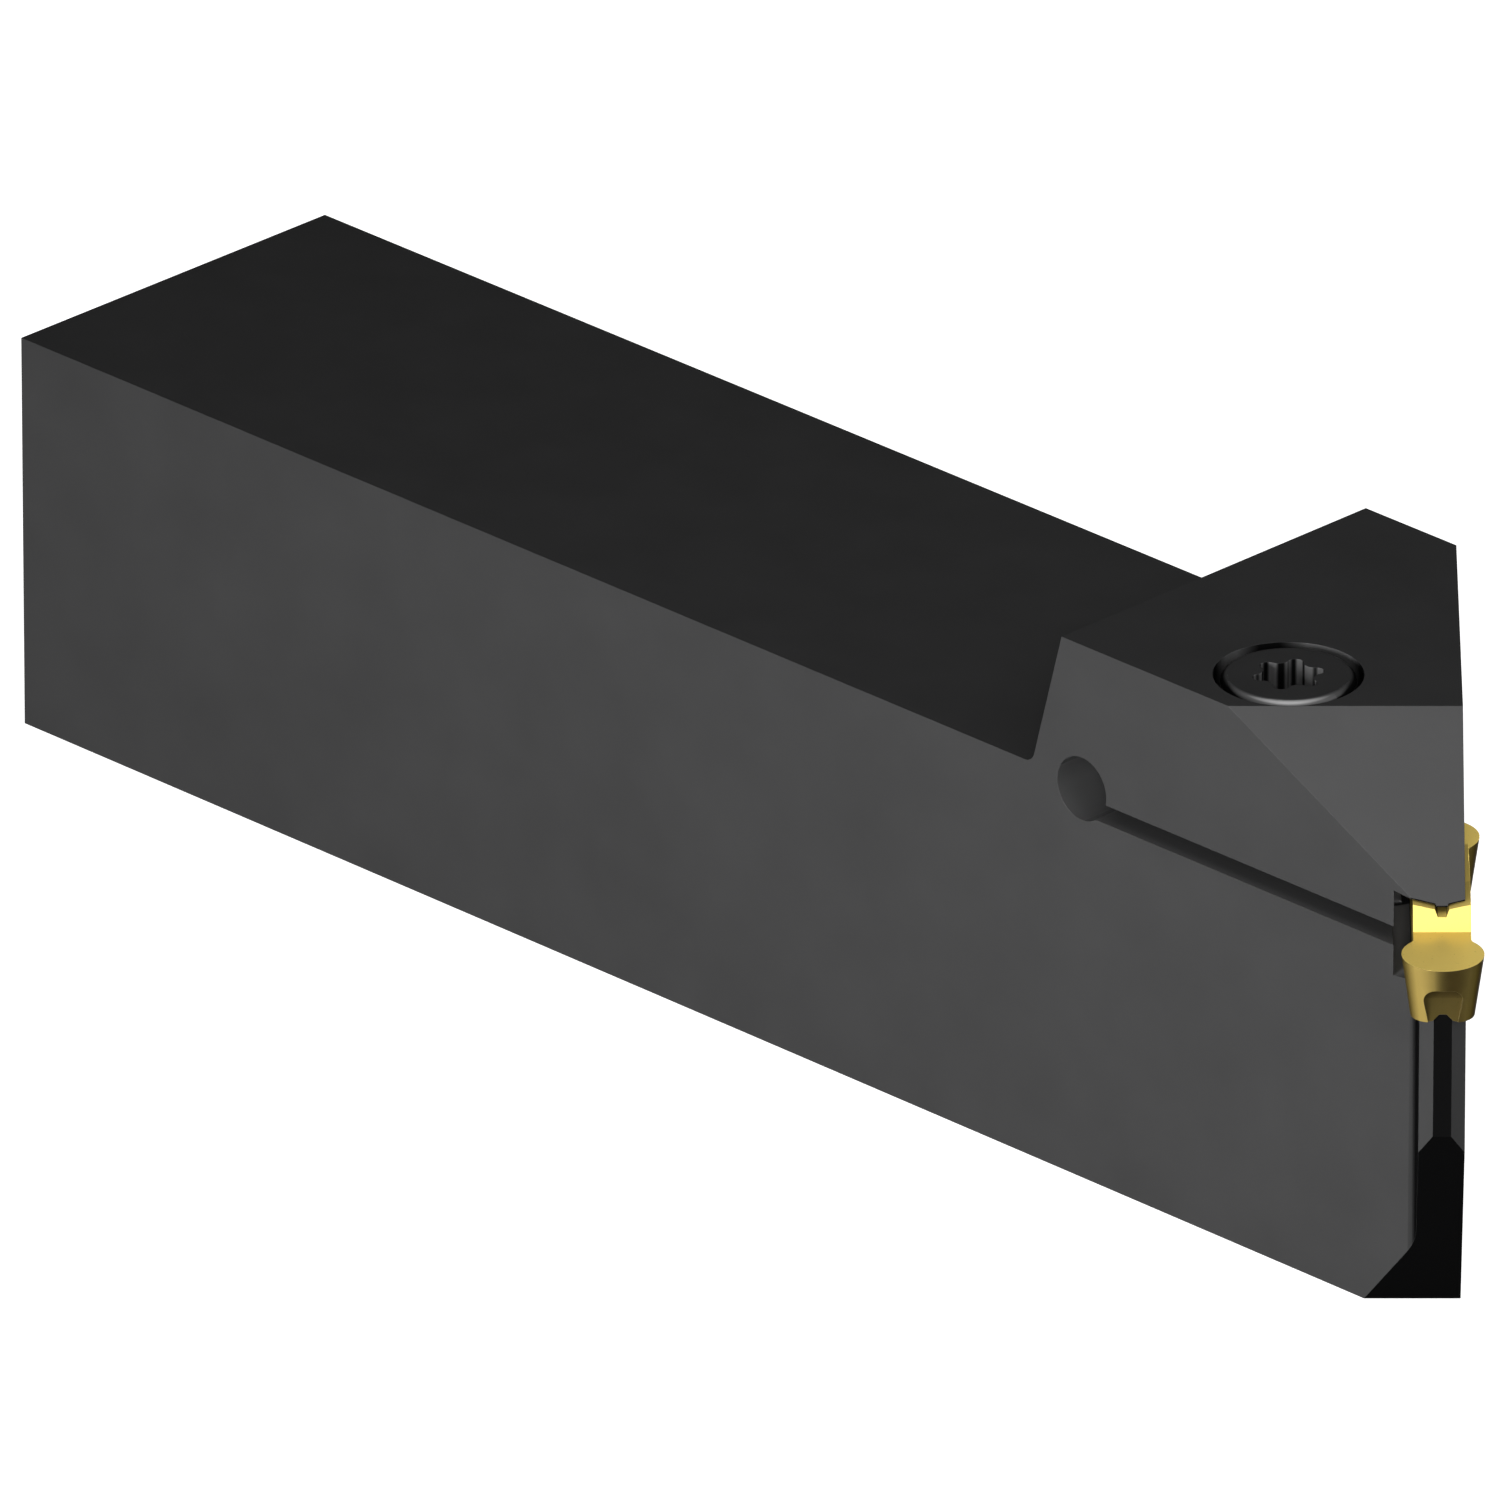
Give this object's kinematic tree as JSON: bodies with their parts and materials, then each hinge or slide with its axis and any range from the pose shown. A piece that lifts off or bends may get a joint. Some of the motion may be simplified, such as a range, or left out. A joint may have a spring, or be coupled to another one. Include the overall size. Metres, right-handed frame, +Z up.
{
  "type": "profiling tool holder",
  "caption": "Square-shank lathe tool holder with a sprung clamping jaw that grips a full-radius profiling insert at an angle to the shank.",
  "frame": {"origin": "middle of the shank's base at its rear face", "axes": "+X along the shank to the cutting head, +Y across it away from the cutting nose, +Z up from the base"},
  "size_m": [0.1529, 0.0371, 0.0428],
  "materials": {
    "black_oxide_steel": "satin black oxide",
    "screw_steel": "satin black oxide",
    "coated_carbide": "gold nitride coating on ground carbide"
  },
  "bodies": {
    "root": {"holder_body": "black_oxide_steel", "clamp_screw": "screw_steel", "cutting_insert": "coated_carbide"}
  },
  "joints": []
}
